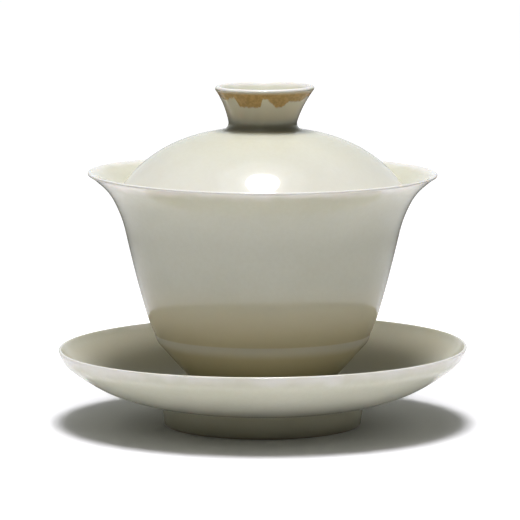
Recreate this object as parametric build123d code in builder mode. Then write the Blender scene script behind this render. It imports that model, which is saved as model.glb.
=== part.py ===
"""A porcelain gaiwan: a saucer, a handleless bowl with a flared lip, and a domed lid.

Millimetres, +Z up. The origin is on the ware's axis, on the table under the saucer's foot ring.
Each piece is one fired body thrown on a wheel, so each is one half section turned about the axis.
"""
from build123d import *
import os

# Every wall is drawn as a chain of tangent arcs from its lip: (radius, turn in degrees) for each,
# a positive turn going to the left. A lip heading is the way the wall leaves its lip.
lip_radius = 0.75
foot_corner = 0.5

# Saucer: a shallow dish on a low foot ring, with a sunk well that keeps the bowl central
saucer_radius = 58.7
saucer_height = 23.2
saucer_lip_heading = -112
saucer_outer_arcs = [(11.5, -28), (50, -33)]
saucer_inner_arcs = [(10, -28), (42, -40)]
saucer_foot_radius = 28.4
saucer_foot_width = 3.4
saucer_foot_draft = 0.8
saucer_foot_blend = 1.2
saucer_recess_height = 4.6
well_radius = 21.6
well_height = 8.0
well_blend = 0.4

# Bowl: it stands in the well; a turning line parts its straight wall from the belly that the foot tool cut
bowl_radius = 50
bowl_height = 73.2
bowl_lip_heading = -154.5
bowl_outer_arcs = [(15.7, 37.2), (35.2, 15.8), (300, -4.4), (44, -9.5), (0.6, 17), (5.5, -32.6)]
bowl_inner_arcs = [(18.1, 37.0), (36.8, 15.4), (290, -4.3), (34, -30), (28, -43.6)]
bowl_foot_radius = 20.2
bowl_foot_width = 2.8
bowl_foot_draft = 0.4
bowl_foot_height = 4.6
bowl_foot_blend = 1.0
bowl_recess_depth = 1.8

# Lid: a dome that sits inside the flare, under a hollow knob like a small upturned foot ring
knob_radius = 13.9
knob_height = 97.8
knob_lip_heading = -125
knob_outer_arcs = [(24, 30.5)]
knob_inner_arcs = [(25.5, 23), (3, -78)]
neck_blend = 2.2
dome_heading = 1
dome_arcs = [(37, -58.4)]
dome_inner_arcs = [(34.5, 57.4)]


def direction(angle):
    """A unit vector at this angle in a half section, where x is the radius and y the height."""
    return Vector(1, 0).rotate(Axis.Z, angle)


def half_round_lip(rim_radius, rim_height, heading):
    """The rounded lip, drawn from the outer wall over to the inner one."""
    centre = Vector(rim_radius - lip_radius, rim_height - lip_radius)
    outer_end = centre + direction(heading + 90) * lip_radius
    return JernArc(start=outer_end, tangent=direction(heading + 180), radius=lip_radius, arc_size=180)


def tangent_arcs(start, heading, arcs):
    """A smooth wall of arcs from start; returns the point where the last arc ends."""
    for radius, turn in arcs:
        arc = JernArc(start=start, tangent=direction(heading), radius=radius, arc_size=turn)
        start = arc @ 1
        heading += turn
    return start


def round_corner(section, corner, radius):
    """Round the vertex of the section that lies at this corner."""
    fillet(section.vertices().sort_by_distance(corner)[0], radius=radius)


# Saucer
foot_outside = (saucer_foot_radius, 0)
foot_inside = (saucer_foot_radius - saucer_foot_width, 0)
recess_corner = (foot_inside[0] - saucer_foot_draft, saucer_recess_height)
well_edge_radius = well_radius + 0.5

with BuildPart() as saucer:
    with BuildSketch(Plane.XZ) as saucer_section:
        with BuildLine():
            lip = half_round_lip(saucer_radius, saucer_height, saucer_lip_heading)
            foot_top = tangent_arcs(lip @ 0, saucer_lip_heading, saucer_outer_arcs)
            dish_floor = tangent_arcs(lip @ 1, saucer_lip_heading, saucer_inner_arcs)
            well_edge = (well_edge_radius, dish_floor.Y)
            well_corner = (well_radius, well_height)
            Polyline(foot_top, foot_outside, foot_inside, recess_corner, (0, saucer_recess_height),
                     (0, well_height), well_corner, well_edge, dish_floor)
        make_face()
        round_corner(saucer_section, foot_top, saucer_foot_blend)
        round_corner(saucer_section, foot_outside, foot_corner)
        round_corner(saucer_section, foot_inside, foot_corner)
        round_corner(saucer_section, recess_corner, saucer_foot_blend)
        round_corner(saucer_section, well_edge, well_blend)
        round_corner(saucer_section, well_corner, well_blend)
    revolve(axis=Axis.Z)
saucer.part.label = "saucer"

# Bowl
bowl_foot_top = (bowl_foot_radius, well_height + bowl_foot_height)
bowl_foot_outside = (bowl_foot_radius - bowl_foot_draft, well_height)
bowl_foot_inside = (bowl_foot_outside[0] - bowl_foot_width, well_height)
bowl_recess_height = well_height + bowl_recess_depth
bowl_recess_corner = (bowl_foot_inside[0] - bowl_foot_draft, bowl_recess_height)

with BuildPart() as bowl:
    with BuildSketch(Plane.XZ) as bowl_section:
        with BuildLine():
            lip = half_round_lip(bowl_radius, bowl_height, bowl_lip_heading)
            belly = tangent_arcs(lip @ 0, bowl_lip_heading, bowl_outer_arcs)
            bowl_floor = tangent_arcs(lip @ 1, bowl_lip_heading, bowl_inner_arcs)
            Polyline(belly, bowl_foot_top, bowl_foot_outside, bowl_foot_inside, bowl_recess_corner,
                     (0, bowl_recess_height), (0, bowl_floor.Y), bowl_floor)
        make_face()
        round_corner(bowl_section, bowl_foot_top, bowl_foot_blend)
        round_corner(bowl_section, bowl_foot_outside, foot_corner)
        round_corner(bowl_section, bowl_foot_inside, foot_corner)
        round_corner(bowl_section, bowl_recess_corner, bowl_foot_blend)
    revolve(axis=Axis.Z)
bowl.part.label = "bowl"

# Lid
with BuildPart() as lid:
    with BuildSketch(Plane.XZ) as lid_section:
        with BuildLine():
            lip = half_round_lip(knob_radius, knob_height, knob_lip_heading)
            neck = tangent_arcs(lip @ 0, knob_lip_heading, knob_outer_arcs)
            cup_floor = tangent_arcs(lip @ 1, knob_lip_heading, knob_inner_arcs)
            rim_heading = dome_heading + dome_arcs[0][1]
            rim_outside = tangent_arcs(neck, dome_heading, dome_arcs)
            rim_inside = tangent_arcs(rim_outside, rim_heading, [(lip_radius, -180)])
            crown = tangent_arcs(rim_inside, rim_heading + 180, dome_inner_arcs)
            Polyline(crown, (0, crown.Y), (0, cup_floor.Y), cup_floor)
        make_face()
        round_corner(lid_section, neck, neck_blend)
    revolve(axis=Axis.Z)
lid.part.label = "lid"

os.makedirs("parts", exist_ok=True)
export_step(saucer.part, "parts/saucer.step")
export_step(bowl.part, "parts/bowl.step")
export_step(lid.part, "parts/lid.step")
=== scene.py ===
"""A porcelain gaiwan: a saucer, a handleless bowl with a flared lip, and a domed lid.

The frame is the CAD model's: +Z up, the origin on the ware's axis, on the table. Half sections are
drawn in millimetres, x the radius and y the height, and turned about the axis into meshes in metres.
The glaze's radii and heights are in millimetres too.
"""
import math

import bpy
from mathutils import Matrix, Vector


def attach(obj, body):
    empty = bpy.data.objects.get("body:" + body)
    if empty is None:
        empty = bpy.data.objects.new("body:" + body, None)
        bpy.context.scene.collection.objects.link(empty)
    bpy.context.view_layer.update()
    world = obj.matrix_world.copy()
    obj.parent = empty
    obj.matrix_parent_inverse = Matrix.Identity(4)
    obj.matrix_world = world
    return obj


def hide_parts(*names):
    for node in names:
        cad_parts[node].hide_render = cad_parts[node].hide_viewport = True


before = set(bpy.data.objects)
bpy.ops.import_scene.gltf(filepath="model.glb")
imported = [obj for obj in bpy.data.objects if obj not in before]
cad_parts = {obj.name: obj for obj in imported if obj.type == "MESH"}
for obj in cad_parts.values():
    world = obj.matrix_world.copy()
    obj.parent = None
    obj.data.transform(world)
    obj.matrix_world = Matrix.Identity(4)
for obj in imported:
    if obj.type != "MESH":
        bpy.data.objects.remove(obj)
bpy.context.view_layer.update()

MM = 0.001
SEGMENTS = 192  # round the axis
SECTION_STEP = 1.0  # the longest step along a section, in mm
ARC_STEP = 10  # the longest step round an arc, in degrees
CORNER_STEPS = 6  # along the curve of a rounded corner
ON_AXIS = 1e-6  # a radius below this is one vertex on the axis

LIP_RADIUS = 0.75
FOOT_CORNER = 0.5
# The saucer's and the bowl's lips are thinned by this share, which fades out this far down the wall
PINCH = 0.42
PINCH_REACH = 3.5

# Every wall is a chain of tangent arcs from its lip: (radius, turn in degrees), left turns positive.
SAUCER_RADIUS = 58.7
SAUCER_HEIGHT = 23.2
SAUCER_LIP_HEADING = -112
SAUCER_OUTER_ARCS = [(11.5, -28), (50, -33)]
SAUCER_INNER_ARCS = [(10, -28), (42, -40)]
SAUCER_FOOT_RADIUS = 28.4
SAUCER_FOOT_WIDTH = 3.4
SAUCER_FOOT_DRAFT = 0.8
SAUCER_FOOT_BLEND = 1.2
SAUCER_RECESS_HEIGHT = 4.6
WELL_RADIUS = 21.6
WELL_HEIGHT = 8.0
WELL_DRAFT = 0.5
WELL_BLEND = 0.4

BOWL_RADIUS = 50
BOWL_HEIGHT = 73.2
BOWL_LIP_HEADING = -154.5
BOWL_OUTER_ARCS = [(15.7, 37.2), (35.2, 15.8), (300, -4.4), (44, -9.5), (0.6, 17), (5.5, -32.6)]
BOWL_INNER_ARCS = [(18.1, 37.0), (36.8, 15.4), (290, -4.3), (34, -30), (28, -43.6)]
BOWL_FOOT_RADIUS = 20.2
BOWL_FOOT_WIDTH = 2.8
BOWL_FOOT_DRAFT = 0.4
BOWL_FOOT_HEIGHT = 4.6
BOWL_FOOT_BLEND = 1.0
BOWL_RECESS_DEPTH = 1.8
BOWL_TURNING_LINE = 26.4  # height of the line where the straight wall meets the belly

KNOB_RADIUS = 13.9
KNOB_HEIGHT = 97.8
KNOB_LIP_HEADING = -125
KNOB_OUTER_ARCS = [(24, 30.5)]
KNOB_INNER_ARCS = [(25.5, 23), (3, -78)]
NECK_BLEND = 2.2
DOME_HEADING = 1
DOME_ARCS = [(37, -58.4)]
DOME_INNER_ARCS = [(34.5, 57.4)]


# ---- Half sections -------------------------------------------------------------------------------

def smoothstep(low, high, value):
    """Goes smoothly from 0 to 1 as value goes from low to high."""
    share = min(max((value - low) / (high - low), 0), 1)
    return share * share * (3 - 2 * share)


def direction(angle):
    """A unit vector at this angle in a half section."""
    return Vector((math.cos(math.radians(angle)), math.sin(math.radians(angle))))


def arc_points(start, heading, radius, turn):
    """Points along an arc that leaves start along heading, without start itself."""
    side = math.copysign(90, turn)
    centre = start + direction(heading + side) * radius
    length = radius * math.radians(abs(turn))
    count = math.ceil(max(abs(turn) / ARC_STEP, length / SECTION_STEP))
    return [centre - direction(heading + side + turn * i / count) * radius for i in range(1, count + 1)]


def tangent_arcs(start, heading, arcs):
    """Points along a smooth chain of arcs, with start."""
    points = [start]
    for radius, turn in arcs:
        points += arc_points(points[-1], heading, radius, turn)
        heading += turn
    return points


def straight_runs(*corners):
    """Points along straight runs from corner to corner, without the first corner."""
    points = []
    for start, end in zip(corners, corners[1:]):
        count = math.ceil((end - start).length / SECTION_STEP)
        points += [start.lerp(end, i / count) for i in range(1, count + 1)]
    return points


def half_round_lip(radius, height, heading):
    """Points of a rounded lip, from the outer wall over to the inner one."""
    centre = Vector((radius - LIP_RADIUS, height - LIP_RADIUS))
    outer_end = centre + direction(heading + 90) * LIP_RADIUS
    return [outer_end] + arc_points(outer_end, heading + 180, LIP_RADIUS, 180)


def trimmed(points, corner, reach):
    """The points up to where the wall comes within reach of the corner it leads to."""
    kept = list(points)
    while (kept[-1] - corner).length < reach:
        inner = kept.pop()
    far, near = (kept[-1] - corner).length, (inner - corner).length
    return kept + [kept[-1].lerp(inner, (far - reach) / (far - near))]


def round_corner(points, corner, radius):
    """Rounds one corner of a section with a curve that meets both walls smoothly."""
    at = min(range(len(points)), key=lambda i: (points[i] - corner).length)
    corner = points[at]
    turn = (corner - points[at - 1]).angle(points[at + 1] - corner)
    reach = radius * math.tan(turn / 2)
    before = trimmed(points[:at + 1], corner, reach)
    after = trimmed(points[:at - 1:-1], corner, reach)
    start, end = before[-1], after[-1]
    pull = reach * 4 / 3 * math.tan(turn / 4) / math.tan(turn / 2)
    start_handle = start + (start - before[-2]).normalized() * pull
    end_handle = end + (end - after[-2]).normalized() * pull
    curve = []
    for i in range(1, CORNER_STEPS):
        t = i / CORNER_STEPS
        s = 1 - t
        from_start = start * s ** 3 + start_handle * 3 * s * s * t
        curve.append(from_start + end_handle * 3 * s * t * t + end * t ** 3)
    return before + curve + after[::-1]


def round_corners(section, corners):
    """Rounds corners of a section, given as (corner, radius)."""
    for corner, radius in corners:
        section = round_corner(section, corner, radius)
    return section


def pinched(section, radius, height, heading):
    """Thins the wall down towards its lip, to a finer edge than the turned section has."""
    lip_centre = Vector((radius - LIP_RADIUS, height - LIP_RADIUS))
    into_wall, across = direction(heading), direction(heading + 90)
    thinned = []
    for point in section:
        along = (point - lip_centre).dot(into_wall)
        aside = (point - lip_centre).dot(across)
        if along < PINCH_REACH:
            share = 1 - PINCH * (1 - smoothstep(0, PINCH_REACH, along))
            along *= share if along < 0 else 1
            point = lip_centre + into_wall * along + across * aside * share
        thinned.append(point)
    return thinned


def saucer_section():
    """From the middle of the underside, round the foot and the lip, to the middle of the well."""
    lip = half_round_lip(SAUCER_RADIUS, SAUCER_HEIGHT, SAUCER_LIP_HEADING)
    outside = tangent_arcs(lip[0], SAUCER_LIP_HEADING, SAUCER_OUTER_ARCS)
    inside = tangent_arcs(lip[-1], SAUCER_LIP_HEADING, SAUCER_INNER_ARCS)
    foot_top = outside[-1]
    foot_outside = Vector((SAUCER_FOOT_RADIUS, 0))
    foot_inside = Vector((SAUCER_FOOT_RADIUS - SAUCER_FOOT_WIDTH, 0))
    recess_corner = Vector((foot_inside.x - SAUCER_FOOT_DRAFT, SAUCER_RECESS_HEIGHT))
    recess_middle = Vector((0, SAUCER_RECESS_HEIGHT))
    well_edge = Vector((WELL_RADIUS + WELL_DRAFT, inside[-1].y))
    well_corner = Vector((WELL_RADIUS, WELL_HEIGHT))
    underside = straight_runs(foot_top, foot_outside, foot_inside, recess_corner, recess_middle)
    well = straight_runs(inside[-1], well_edge, well_corner, Vector((0, WELL_HEIGHT)))
    section = (outside + underside)[::-1] + lip[1:-1] + inside + well
    section = round_corners(section, [
        (foot_top, SAUCER_FOOT_BLEND),
        (foot_outside, FOOT_CORNER),
        (foot_inside, FOOT_CORNER),
        (recess_corner, SAUCER_FOOT_BLEND),
        (well_edge, WELL_BLEND),
        (well_corner, WELL_BLEND),
    ])
    return pinched(section, SAUCER_RADIUS, SAUCER_HEIGHT, SAUCER_LIP_HEADING)


def bowl_section():
    """From the middle of the underside, round the foot and the lip, to the middle of the floor."""
    lip = half_round_lip(BOWL_RADIUS, BOWL_HEIGHT, BOWL_LIP_HEADING)
    outside = tangent_arcs(lip[0], BOWL_LIP_HEADING, BOWL_OUTER_ARCS)
    inside = tangent_arcs(lip[-1], BOWL_LIP_HEADING, BOWL_INNER_ARCS)
    recess_height = WELL_HEIGHT + BOWL_RECESS_DEPTH
    belly = outside[-1]
    foot_top = Vector((BOWL_FOOT_RADIUS, WELL_HEIGHT + BOWL_FOOT_HEIGHT))
    foot_outside = Vector((BOWL_FOOT_RADIUS - BOWL_FOOT_DRAFT, WELL_HEIGHT))
    foot_inside = Vector((foot_outside.x - BOWL_FOOT_WIDTH, WELL_HEIGHT))
    recess_corner = Vector((foot_inside.x - BOWL_FOOT_DRAFT, recess_height))
    recess_middle = Vector((0, recess_height))
    underside = straight_runs(belly, foot_top, foot_outside, foot_inside, recess_corner, recess_middle)
    floor = straight_runs(inside[-1], Vector((0, inside[-1].y)))
    section = (outside + underside)[::-1] + lip[1:-1] + inside + floor
    section = round_corners(section, [
        (foot_top, BOWL_FOOT_BLEND),
        (foot_outside, FOOT_CORNER),
        (foot_inside, FOOT_CORNER),
        (recess_corner, BOWL_FOOT_BLEND),
    ])
    return pinched(section, BOWL_RADIUS, BOWL_HEIGHT, BOWL_LIP_HEADING)


def lid_section():
    """From the middle of the underside, round the dome's rim and the knob, to the middle of its cup."""
    lip = half_round_lip(KNOB_RADIUS, KNOB_HEIGHT, KNOB_LIP_HEADING)
    knob = tangent_arcs(lip[0], KNOB_LIP_HEADING, KNOB_OUTER_ARCS)
    cup = tangent_arcs(lip[-1], KNOB_LIP_HEADING, KNOB_INNER_ARCS)
    neck = knob[-1]
    rim_heading = DOME_HEADING + DOME_ARCS[0][1]
    dome = tangent_arcs(neck, DOME_HEADING, DOME_ARCS + [(LIP_RADIUS, -180)])
    underside = tangent_arcs(dome[-1], rim_heading + 180, DOME_INNER_ARCS)
    crown = straight_runs(underside[-1], Vector((0, underside[-1].y)))
    cup_floor = straight_runs(cup[-1], Vector((0, cup[-1].y)))
    section = (knob + dome[1:] + underside[1:] + crown)[::-1] + lip[1:-1] + cup + cup_floor
    return round_corner(section, neck, NECK_BLEND)


# ---- Meshes --------------------------------------------------------------------------------------

# How far the rims were pulled out of true, as waves round the axis: (size in mm, waves per turn,
# shift in radians). One with no waves is the same all round. The pull fades out DEPTH below a rim.
QUARTER = math.pi / 2
SAUCER_RIM_OUT = [(0.3, 0, 0), (0.25, 2, 0.8)]
SAUCER_RIM_UP = [(-0.2, 0, 0), (0.55, 1, 0), (0.25, 1, -QUARTER), (0.2, 2, -0.6), (-0.25, 2, 0)]
BOWL_RIM_OUT = [(0.3, 0, 0), (0.12, 2, -0.4)]
BOWL_RIM_UP = [(-0.14, 0, 0), (-0.28, 1, 0), (0.375, 1, -QUARTER), (0.14, 2, 0), (0.08, 2, 0.5)]
BOWL_RIM_DEPTH = 30
KNOB_LIP_OUT = 0.29
KNOB_LIP_ASIDE = 0.59
KNOB_LIP_UP = [(0.06, 1, 0), (0.25, 1, -QUARTER)]
KNOB_LIP_DEPTH = 13
NECK_SWELL = 0.3
NECK_SWELL_RADII = (11, 17)
NECK_SWELL_HEIGHTS = (86, 91)
DOME_SAG = 0.2
DOME_SAG_STARTS = (14, 24)
DOME_SAG_ENDS = (30, 40)


def waves(terms, angle):
    """The height of all these waves together at this angle."""
    return sum(size * math.cos(turns * angle + shift) for size, turns, shift in terms)


def saucer_warp(radius, height, angle):
    """How far the dish was pulled, more towards its rim, as (outwards, towards +X, up) in mm."""
    rim = smoothstep(SAUCER_FOOT_RADIUS, SAUCER_RADIUS, radius)
    return waves(SAUCER_RIM_OUT, angle) * rim, 0, waves(SAUCER_RIM_UP, angle) * rim


def bowl_warp(radius, height, angle):
    """Only the upper wall and the lip were pulled out of true."""
    rim = smoothstep(BOWL_HEIGHT - BOWL_RIM_DEPTH, BOWL_HEIGHT, height)
    return waves(BOWL_RIM_OUT, angle) * rim, 0, waves(BOWL_RIM_UP, angle) * rim


def lid_warp(radius, height, angle):
    """The knob leans to one side, and the dome swells up into its neck and sags further out."""
    knob = smoothstep(KNOB_HEIGHT - KNOB_LIP_DEPTH, KNOB_HEIGHT, height)
    below_knob = 1 - smoothstep(*NECK_SWELL_HEIGHTS, height)
    swell = below_knob * (1 - smoothstep(*NECK_SWELL_RADII, radius))
    sag = smoothstep(*DOME_SAG_STARTS, radius) * (1 - smoothstep(*DOME_SAG_ENDS, radius))
    up = NECK_SWELL * swell - DOME_SAG * sag + waves(KNOB_LIP_UP, angle) * knob
    return KNOB_LIP_OUT * knob, KNOB_LIP_ASIDE * knob, up


def ring_faces(low, high):
    """The faces between two rings of vertices, either of which may be a single one on the axis."""
    faces = []
    for k in range(SEGMENTS):
        after = (k + 1) % SEGMENTS
        if len(low) == 1:
            faces.append((low[0], high[after], high[k]))
        elif len(high) == 1:
            faces.append((low[k], low[after], high[0]))
        else:
            faces.append((low[k], low[after], high[after], high[k]))
    return faces


def turned_mesh(name, section, warp):
    """A closed mesh in metres, turned from a half section and pulled out of true."""
    vertices, rings = [], []
    for point in section:
        count = SEGMENTS if point.x > ON_AXIS else 1
        rings.append(range(len(vertices), len(vertices) + count))
        for k in range(count):
            angle = math.tau * k / SEGMENTS
            outwards, aside, up = warp(point.x, point.y, angle)
            radius = point.x + outwards
            x = radius * math.cos(angle) + aside
            y = radius * math.sin(angle)
            vertices.append((x * MM, y * MM, (point.y + up) * MM))
    faces = []
    for low, high in zip(rings, rings[1:]):
        faces += ring_faces(low, high)
    mesh = bpy.data.meshes.new(name)
    mesh.from_pydata(vertices, [], faces)
    mesh.validate()
    mesh.shade_smooth()
    return mesh


def turned(name, section, warp, body, node, material):
    """A piece of ware that stands for its CAD node and moves with its body."""
    mesh = turned_mesh(name, section, warp)
    piece = bpy.data.objects.new(name, mesh)
    bpy.context.scene.collection.objects.link(piece)
    mesh.materials.append(material)
    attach(piece, body)
    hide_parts(node)


# ---- Glaze ---------------------------------------------------------------------------------------

# The glaze: as usual, in paler clouds, in darker grains that also colour painted shade, in painted warm
# shade, and where it thins, which also colours a painted sheen and a painted highlight
GLAZE = (0.612, 0.61, 0.502, 1)
GLAZE_PALE = (0.642, 0.64, 0.537, 1)
# Deep glaze for the grains, and the colour of painted shade
GLAZE_DEEP_AND_SHADE = (0.45, 0.41, 0.25, 1)
# The colour of painted warm shade, for light bounced about in shadow
GLAZE_WARM_SHADE = (0.70, 0.645, 0.48, 1)
# Thin glaze at the lips, and the colour of a painted sheen and a painted highlight
GLAZE_THIN_AND_PAINTED_LIGHT = (0.80, 0.785, 0.755, 1)
BISCUIT = (0.56, 0.49, 0.39, 1)  # bare clay
STAIN = (0.39, 0.225, 0.03, 1)
STAIN_PALE = (0.53, 0.32, 0.07, 1)

# Sizes of noise are in mm; most of a noise's values lie within its spread
SPREAD = (0.3, 0.7)
CLOUD_SIZE = 30
CLOUD_SPREAD = (0.35, 0.65)
GRAIN_SIZE = 1.2
GRAIN_SHARE = 0.07
RIPPLE_SIZE = 6
TOOTH_SIZE = 0.3
RELIEF_STRENGTH = 0.15
RELIEF_DEPTH = 0.06
GLAZE_IOR = 1.5
GLAZE_ROUGHNESS = (0.025, 0.04)
GLOSS_SIZE = 8
BISCUIT_ROUGHNESS = 0.75
SCATTER_SHARE = 0.25
SCATTER_COLOUR = (1.0, 0.8, 0.55)
SCATTER_DEPTH = 2
LIP_SHARE = 0.85
LIP_EDGE_SIZE = 12
# The glaze ends this far above a foot's edge, where it starts to thin and where the clay is bare
FOOT_GLAZE_ENDS = (0.35, 0.15)
FOOT_GLAZE_WANDER = 0.4
FOOT_GLAZE_SIZE = 2


class Nodes:
    """Builds the node graph of one material or world."""

    def __init__(self, tree, place="Object"):
        self.tree = tree
        origin = self.add("TexCoord")
        self.place, self.normal = origin.outputs[place], origin.outputs["Normal"]

    def add(self, kind, inputs=None, **settings):
        """A node whose inputs, named or numbered, are values or the sockets that feed them."""
        node = self.tree.nodes.new("ShaderNode" + kind)
        for name, value in settings.items():
            setattr(node, name, value)
        for name, value in (inputs or {}).items():
            self.feed(node.inputs[name], value)
        return node

    def feed(self, socket, value):
        """Sets a socket to a value, or links another socket to it."""
        if isinstance(value, bpy.types.NodeSocket):
            self.tree.links.new(value, socket)
        else:
            socket.default_value = value

    def math(self, operation, *values):
        """A sum or function of values and sockets."""
        inputs = dict(enumerate(values))
        return self.add("Math", inputs, operation=operation).outputs[0]

    def product(self, *factors):
        """All of the factors multiplied together."""
        total = factors[0]
        for factor in factors[1:]:
            total = self.math("MULTIPLY", total, factor)
        return total

    def ramp(self, value, low, high, bottom=0.0, top=1.0):
        """Goes smoothly from bottom to top as value goes from low to high."""
        inputs = {"Value": value, "From Min": low, "From Max": high, "To Min": bottom, "To Max": top}
        return self.add("MapRange", inputs, interpolation_type="SMOOTHSTEP").outputs["Result"]

    def noise(self, size, detail=2.0, roughness=0.5):
        """Noise from 0 to 1 whose features are about size mm across."""
        scale = 1 / (size * MM)
        inputs = {"Vector": self.place, "Scale": scale, "Detail": detail, "Roughness": roughness}
        return self.add("TexNoise", inputs).outputs["Fac"]

    def ragged(self, size, reach):
        """Fine noise about 0 whose features are about size mm across, reach from end to end."""
        return self.product(self.math("SUBTRACT", self.noise(size, 3, 0.6), 0.5), reach)

    def uneven_ramp(self, value, low, high):
        """A ramp whose edge wanders to and fro by up to a quarter of its width."""
        quarter = (high - low) / 4
        wander = self.ramp(self.noise(LIP_EDGE_SIZE), *SPREAD, -quarter, quarter)
        return self.ramp(self.math("ADD", value, wander), low, high)

    def mix(self, share, below, above):
        """Goes from one colour to another as share goes from 0 to 1."""
        node = self.add("Mix", {"Factor": share, 6: below, 7: above}, data_type="RGBA")
        return node.outputs[2]

    def facing_up(self, low, high):
        """Goes from 0 to 1 as the upward part of the surface's normal goes from low to high."""
        return self.ramp(self.add("SeparateXYZ", {0: self.normal}).outputs[2], low, high)

    def around_axis(self):
        """The distance from the axis and the height, in mm, and the angle round the axis."""
        x, y, z = self.add("SeparateXYZ", {0: self.place}).outputs
        radius = self.math("SQRT", self.math("ADD", self.product(x, x), self.product(y, y)))
        angle = self.math("ARCTAN2", y, x)
        return self.math("DIVIDE", radius, MM), self.math("DIVIDE", z, MM), angle


def glazed(name, coat):
    """A glazed porcelain; coat(nodes, colour) returns a piece's colour, roughness and bareness."""
    material = bpy.data.materials.new(name)
    material.use_nodes = True
    tree = material.node_tree
    tree.nodes.clear()
    nodes = Nodes(tree)
    cloud = nodes.ramp(nodes.noise(CLOUD_SIZE, 3), *CLOUD_SPREAD)
    colour = nodes.mix(cloud, GLAZE, GLAZE_PALE)
    grain = nodes.ramp(nodes.noise(GRAIN_SIZE, 3, 0.6), *SPREAD)
    colour = nodes.mix(nodes.product(grain, GRAIN_SHARE), colour, GLAZE_DEEP_AND_SHADE)
    colour, roughness, bare = coat(nodes, colour)
    ripple = nodes.noise(RIPPLE_SIZE, 2, 0.4)
    tooth = nodes.product(nodes.noise(TOOTH_SIZE, 4, 0.6), bare)
    relief = nodes.math("ADD", ripple, tooth)
    bump = nodes.add("Bump", {
        "Height": relief,
        "Strength": RELIEF_STRENGTH,
        "Distance": RELIEF_DEPTH * MM,
    })
    inputs = {
        "Base Color": colour,
        "Roughness": roughness,
        "IOR": GLAZE_IOR,
        "Subsurface Weight": SCATTER_SHARE,
        "Subsurface Radius": SCATTER_COLOUR,
        "Subsurface Scale": SCATTER_DEPTH * MM,
        "Normal": bump.outputs["Normal"],
    }
    shader = nodes.add("BsdfPrincipled", inputs, subsurface_method="RANDOM_WALK")
    nodes.add("OutputMaterial", {"Surface": shader.outputs["BSDF"]})
    return material


def lip_and_foot(nodes, colour, height, foot_height, darkening, lip):
    """Glaze turns darker where darkening is 1, which is painted shade and the saucer's darker angle
    over the foot, thinner where lip is 1, and is wiped off the foot's edge.
    """
    colour = nodes.mix(darkening, colour, GLAZE_DEEP_AND_SHADE)
    colour = nodes.mix(nodes.product(lip, LIP_SHARE), colour, GLAZE_THIN_AND_PAINTED_LIGHT)
    wander = nodes.product(nodes.noise(FOOT_GLAZE_SIZE), -FOOT_GLAZE_WANDER)
    wiped = nodes.math("ADD", height, wander)
    glaze_thins, clay_bare = FOOT_GLAZE_ENDS
    bare = nodes.ramp(wiped, foot_height + glaze_thins, foot_height + clay_bare)
    colour = nodes.mix(bare, colour, BISCUIT)
    smooth = nodes.ramp(nodes.noise(GLOSS_SIZE), *SPREAD, *GLAZE_ROUGHNESS)
    roughness = nodes.math("MAXIMUM", nodes.product(bare, BISCUIT_ROUGHNESS), smooth)
    return colour, roughness, bare


# Pairs below say where an effect starts and where it is full: as a radius or height in mm, or for
# FACING as the upward part of the normal. Pairs of strengths go with the pair before them.

FACING_IN = (0.1, 0.4)
FACING_OUT = (0.1, -0.1)

# Darker glaze in the angle between the dish's underside and the foot
FOOT_ANGLE_RADIUS = 29.2
FOOT_ANGLE_REACH = (2.2, 0.4)
FOOT_ANGLE_HEIGHTS = (8.8, 7.5)
FOOT_ANGLE_DARKENING = 0.5
# Painted warm shade inside the dish, for light bounced about in its shadow
DISH_WARM_SHADE_RADII = (58.2, 55.5)
DISH_WARM_SHADE = 0.4
# Painted shade in the hollow of the dish, deeper towards the middle
DISH_SHADE_RADII = (56.5, 44)
DISH_SHADES = (0.15, 0.62)
SAUCER_LIP_RADII = (57.4, 59)


def saucer_coat(nodes, colour):
    """Painted warm shade and painted shade in the hollow of the dish, and darker glaze in the angle
    over the foot.
    """
    radius, height, _ = nodes.around_axis()
    # darker glaze in the angle over the foot
    beside_foot = nodes.math("ABSOLUTE", nodes.math("SUBTRACT", radius, FOOT_ANGLE_RADIUS))
    foot_angle = nodes.product(nodes.ramp(beside_foot, *FOOT_ANGLE_REACH),
                               nodes.ramp(height, *FOOT_ANGLE_HEIGHTS), FOOT_ANGLE_DARKENING)
    inside = nodes.facing_up(*FACING_IN)
    # painted warm shade inside the dish
    warm_shade = nodes.product(inside, nodes.ramp(radius, *DISH_WARM_SHADE_RADII), DISH_WARM_SHADE)
    colour = nodes.mix(warm_shade, colour, GLAZE_WARM_SHADE)
    # painted shade in the hollow of the dish, joined with the darker angle over the foot
    hollow_shade = nodes.product(inside, nodes.ramp(radius, *DISH_SHADE_RADII, *DISH_SHADES))
    darkening = nodes.math("MAXIMUM", foot_angle, hollow_shade)
    lip = nodes.uneven_ramp(radius, *SAUCER_LIP_RADII)
    return lip_and_foot(nodes, colour, height, 0, darkening, lip)


# Painted warm shade on the lower wall, full below the second height
BOWL_WARM_SHADE_HEIGHTS = (46, 30)
# Painted shade on the lower wall, deepening towards the foot
BOWL_SHADE_HEIGHTS = (24, 15)
BOWL_SHADES = (0, 0.9)
BOWL_LIP_RADII = (46.6, 49.8)
# The painted highlight along the ridge below the turning line, as a height above the turning line
RIDGE_TOP = (0.2, -0.3)
RIDGE_BOTTOM = (-4.2, -1.2)
RIDGE_HIGHLIGHT_SHARE = 0.8


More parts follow.
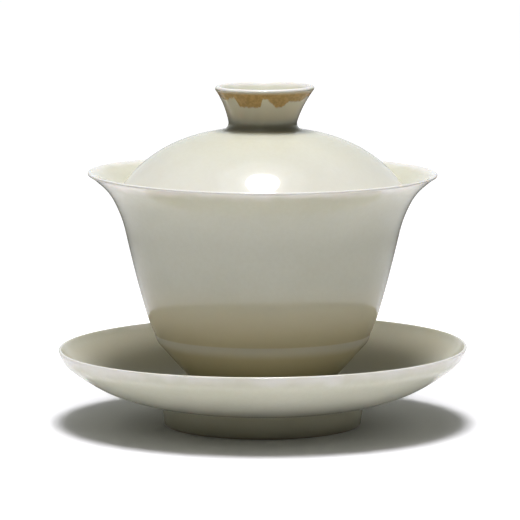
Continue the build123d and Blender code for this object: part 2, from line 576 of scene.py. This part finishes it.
def bowl_coat(nodes, colour):
    """Painted warm shade and painted shade on the lower wall towards the foot, and a painted highlight
    on the ridge below the turning line.
    """
    radius, height, _ = nodes.around_axis()
    # painted warm shade on the lower wall
    colour = nodes.mix(nodes.ramp(height, *BOWL_WARM_SHADE_HEIGHTS), colour, GLAZE_WARM_SHADE)
    # painted shade towards the foot
    darkening = nodes.ramp(height, *BOWL_SHADE_HEIGHTS, *BOWL_SHADES)
    lip = nodes.uneven_ramp(radius, *BOWL_LIP_RADII)
    colour, roughness, bare = lip_and_foot(nodes, colour, height, WELL_HEIGHT, darkening, lip)
    above_line = nodes.math("SUBTRACT", height, BOWL_TURNING_LINE)
    # a painted highlight along the outer face of the ridge
    ridge_highlight = nodes.product(nodes.ramp(above_line, *RIDGE_TOP), nodes.ramp(above_line, *RIDGE_BOTTOM),
                          nodes.facing_up(*FACING_OUT), RIDGE_HIGHLIGHT_SHARE)
    return nodes.mix(ridge_highlight, colour, GLAZE_THIN_AND_PAINTED_LIGHT), roughness, bare


BELOW_LID = 60  # under the whole lid, which has no bare foot
# A painted sheen, paler towards the dome's rim
DOME_SHEEN_HEIGHTS = (84, 69.5)
DOME_SHEENS = (0, 0.38)
KNOB_OUTSIDE_RADII = (9.8, 10.4)
# Painted warm shade on the outside of the knob
KNOB_WARM_SHADE_HEIGHTS = (86, 87.5)
KNOB_WARM_SHADES = (0, 0.8)
NECK_FACING = (-0.85, -0.6)
# Painted shade round the neck, under the knob
NECK_SHADE_RADII = (12.5, 10.7)
NECK_SHADE_HEIGHTS = (88.5, 85)
NECK_SHADES = (0, 0.7)
# The rest is measured down from the knob's lip
KNOB_LIP_GLAZE = (1.4, 0.3)
STAIN_TOP = (1.0, 1.9)
STAIN_BOTTOM = 3.2
STAIN_FADE = (0, 0.7)
STAIN_SHARE = 0.9
STAIN_WAVER = 1.6
STAIN_WAVER_SIZE = 1.4
STAIN_RAGGED = 1.2
STAIN_RAGGED_SIZE = 0.8
STAIN_SPECK_SIZE = 0.9
STAIN_SPECK_SPREAD = (0.35, 0.7)
RUN_OVERLAP = 0.4
# Runs of the stain: (bearing from +X and half width in degrees, length in mm, flat share of the width)
KNOB_RUNS = [
    (-109, 20, 2.5, 0.75), (-67, 20, 2.6, 0.1), (-40, 20, 1.0, 0.4), (38, 13, 2.3, 0.5),
    (86, 22, 2.0, 0.6), (128, 12, 1.4, 0.4), (160, 15, 1.2, 0.4), (-150, 14, 0.8, 0.3),
]


def stain_bottom(nodes, angle):
    """How far below the knob's lip the stain ends, in mm: a ragged band with runs."""
    runs = nodes.ragged(STAIN_WAVER_SIZE, STAIN_WAVER)
    for bearing, half_width, length, flat in KNOB_RUNS:
        away = nodes.math("ABSOLUTE", nodes.math("SUBTRACT", angle, math.radians(bearing)))
        run = nodes.ramp(away, math.radians(half_width), math.radians(half_width * flat), 0, length)
        run = nodes.math("ADD", run, nodes.product(runs, RUN_OVERLAP))
        runs = nodes.math("MAXIMUM", runs, run)
    edge = nodes.ragged(STAIN_RAGGED_SIZE, STAIN_RAGGED)
    return nodes.math("ADD", nodes.math("ADD", runs, edge), STAIN_BOTTOM)


def stained(nodes, colour, depth, angle, outside):
    """The iron stain that ran down the outside of the knob."""
    left = nodes.math("SUBTRACT", stain_bottom(nodes, angle), depth)
    band = nodes.product(nodes.ramp(depth, *STAIN_TOP), nodes.ramp(left, *STAIN_FADE), outside)
    specks = nodes.ramp(nodes.noise(STAIN_SPECK_SIZE, 3), *STAIN_SPECK_SPREAD)
    tone = nodes.mix(specks, STAIN, STAIN_PALE)
    return nodes.mix(nodes.product(band, STAIN_SHARE), colour, tone)


def lid_coat(nodes, colour):
    """A painted sheen towards the rim, painted warm shade on the knob, painted shade round the neck and
    a stain from under the knob's lip.
    """
    radius, height, angle = nodes.around_axis()
    # a painted sheen, paler towards the rim
    sheen = nodes.ramp(height, *DOME_SHEEN_HEIGHTS, *DOME_SHEENS)
    colour = nodes.mix(sheen, colour, GLAZE_THIN_AND_PAINTED_LIGHT)
    outside = nodes.product(nodes.facing_up(*FACING_OUT), nodes.ramp(radius, *KNOB_OUTSIDE_RADII))
    # painted warm shade on the outside of the knob
    knob = nodes.product(outside, nodes.ramp(height, *KNOB_WARM_SHADE_HEIGHTS, *KNOB_WARM_SHADES))
    colour = nodes.mix(knob, colour, GLAZE_WARM_SHADE)
    # painted shade round the neck, under the knob
    darkening = nodes.product(nodes.ramp(radius, *NECK_SHADE_RADII),
                         nodes.ramp(height, *NECK_SHADE_HEIGHTS, *NECK_SHADES),
                         nodes.facing_up(*NECK_FACING))
    depth = nodes.math("SUBTRACT", KNOB_HEIGHT, height)
    lip = nodes.uneven_ramp(depth, *KNOB_LIP_GLAZE)
    colour, roughness, bare = lip_and_foot(nodes, colour, height, BELOW_LID, darkening, lip)
    return stained(nodes, colour, depth, angle, outside), roughness, bare


# ---- Studio --------------------------------------------------------------------------------------

CAMERA_LENS = 242.3
CAMERA_SENSOR = 36
CAMERA_REACH = 50
CAMERA_SIDE = -0.00074  # the ware is not quite in the middle of the picture
CAMERA_PLACE = Vector((CAMERA_SIDE, -1.0, 0.1714))
CAMERA_AIM = Vector((CAMERA_SIDE, 0, 0.0475))

SOFTBOX_LEAN = 9  # degrees towards the camera
SOFTBOX_AIM = 0.05  # the height in m of the point that it hangs a metre from
SOFTBOX_COLOUR = (0.99, 0.98, 1.02)
# The softbox is brightest in the middle: (width and depth in m, power in W) of each of its ovals.
SOFTBOX_OVALS = [(0.29, 0.42, 10.2), (0.36, 0.50, 1.8), (0.46, 0.62, 1.6), (0.8, 0.9, 2.0)]

WHITE = (1, 1, 1, 1)
WHITE_GLOW = 1.2
STUDIO_COLOUR = (0.97, 1, 0.99, 1)
STUDIO_GLOW = 0.035
# Where the world's light starts and is full, along a direction's X, Y and Z, and how bright it is
BACKDROP_Y = (-0.1, 0.75)
BACKDROP_Z = (0.0, 0.6)
BACKDROP_GLOWS = (0.75, 0.16)
SPILL_X = (0.3, -0.5)
SPILL_Z = (0.55, 0.9)
SPILL_GLOWS = (0.02, 0.2)

TABLE_REACH = 6
# Radii in mm and the front's Y in m, and then tones or glows
PAPER_RADII = (120, 360)
PAPER_TONES = (0.83, 0.13)
FADE_TO_WHITE = (70, 250)
NEAR_STARTS = (70, 100)
NEAR_ENDS = (350, 150)
FRONT_Y = (0.05, -0.08)
FRONT_GLOWS = (0.08, 0.42)

VIEW_GAMMA = 0.92


def camera():
    """A metre in front of the ware and a little above it, looking slightly down."""
    data = bpy.data.cameras.new("camera")
    data.lens = CAMERA_LENS
    data.sensor_width = CAMERA_SENSOR
    data.clip_end = CAMERA_REACH
    made = bpy.data.objects.new("camera", data)
    made.location = CAMERA_PLACE
    made.rotation_euler = (CAMERA_AIM - CAMERA_PLACE).to_track_quat("-Z", "Y").to_euler()
    bpy.context.scene.collection.objects.link(made)
    bpy.context.scene.camera = made


def softbox(width, depth, power):
    """One oval of the softbox, a metre over the ware and a little towards the camera."""
    data = bpy.data.lights.new("softbox", "AREA")
    data.shape = "ELLIPSE"
    data.size = width
    data.size_y = depth
    data.energy = power
    data.color = SOFTBOX_COLOUR
    made = bpy.data.objects.new("softbox", data)
    lean = math.radians(SOFTBOX_LEAN)
    made.location = (0, -math.sin(lean), SOFTBOX_AIM + math.cos(lean))
    made.rotation_euler = (-lean, 0, 0)
    made.visible_camera = False
    bpy.context.scene.collection.objects.link(made)


def surroundings():
    """A dark studio with a pale backdrop and light from high on the left; the camera sees white."""
    world = bpy.data.worlds.new("studio")
    world.use_nodes = True
    world.node_tree.nodes.clear()
    nodes = Nodes(world.node_tree, "Generated")
    x, y, z = nodes.add("SeparateXYZ", {0: nodes.place}).outputs
    backdrop = nodes.product(nodes.ramp(y, *BACKDROP_Y), nodes.ramp(z, *BACKDROP_Z, *BACKDROP_GLOWS))
    spill = nodes.product(nodes.ramp(z, *SPILL_Z), nodes.ramp(x, *SPILL_X, *SPILL_GLOWS))
    glow = nodes.math("ADD", nodes.math("ADD", backdrop, spill), STUDIO_GLOW)
    studio = nodes.add("Background", {"Color": STUDIO_COLOUR, "Strength": glow})
    white = nodes.add("Background", {"Color": WHITE, "Strength": WHITE_GLOW})
    seen = nodes.add("LightPath").outputs["Is Camera Ray"]
    both = nodes.add("MixShader", {0: seen, 1: studio.outputs[0], 2: white.outputs[0]})
    nodes.add("OutputWorld", {"Surface": both.outputs[0]})
    bpy.context.scene.world = world


def white_paper():
    """Pale paper that glows in front of the ware and that the camera sees as white further off."""
    material = bpy.data.materials.new("white_paper")
    material.use_nodes = True
    material.node_tree.nodes.clear()
    nodes = Nodes(material.node_tree)
    radius, _, _ = nodes.around_axis()
    y = nodes.add("SeparateXYZ", {0: nodes.place}).outputs[1]
    near = nodes.product(nodes.ramp(radius, *NEAR_STARTS), nodes.ramp(radius, *NEAR_ENDS))
    in_front = nodes.product(near, nodes.ramp(y, *FRONT_Y, *FRONT_GLOWS))
    seen = nodes.add("LightPath").outputs["Is Camera Ray"]
    far = nodes.product(nodes.ramp(radius, *FADE_TO_WHITE), seen)
    tone = nodes.ramp(radius, *PAPER_RADII, *PAPER_TONES)
    grey = nodes.add("CombineColor", {0: tone, 1: tone, 2: tone}).outputs[0]
    paper = nodes.add("BsdfDiffuse", {"Color": grey})
    lamp = nodes.add("Emission", {"Color": WHITE, "Strength": nodes.math("MAXIMUM", in_front, far)})
    both = nodes.add("AddShader", {0: paper.outputs[0], 1: lamp.outputs[0]})
    nodes.add("OutputMaterial", {"Surface": both.outputs[0]})
    return material


def table():
    """A flat table top, which is not part of the ware."""
    mesh = bpy.data.meshes.new("table")
    corners = [(-1, -1), (1, -1), (1, 1), (-1, 1)]
    mesh.from_pydata([(x * TABLE_REACH, y * TABLE_REACH, 0) for x, y in corners], [], [(0, 1, 2, 3)])
    made = bpy.data.objects.new("table", mesh)
    bpy.context.scene.collection.objects.link(made)
    mesh.materials.append(white_paper())


camera()
turned("saucer_ware", saucer_section(), saucer_warp, "saucer", "saucer",
       glazed("saucer_glaze", saucer_coat))
turned("bowl_ware", bowl_section(), bowl_warp, "bowl", "bowl",
       glazed("bowl_glaze", bowl_coat))
turned("lid_ware", lid_section(), lid_warp, "lid", "lid",
       glazed("lid_glaze", lid_coat))
table()
for width, depth, power in SOFTBOX_OVALS:
    softbox(width, depth, power)
surroundings()
bpy.context.scene.view_settings.view_transform = "Standard"
bpy.context.scene.view_settings.gamma = VIEW_GAMMA
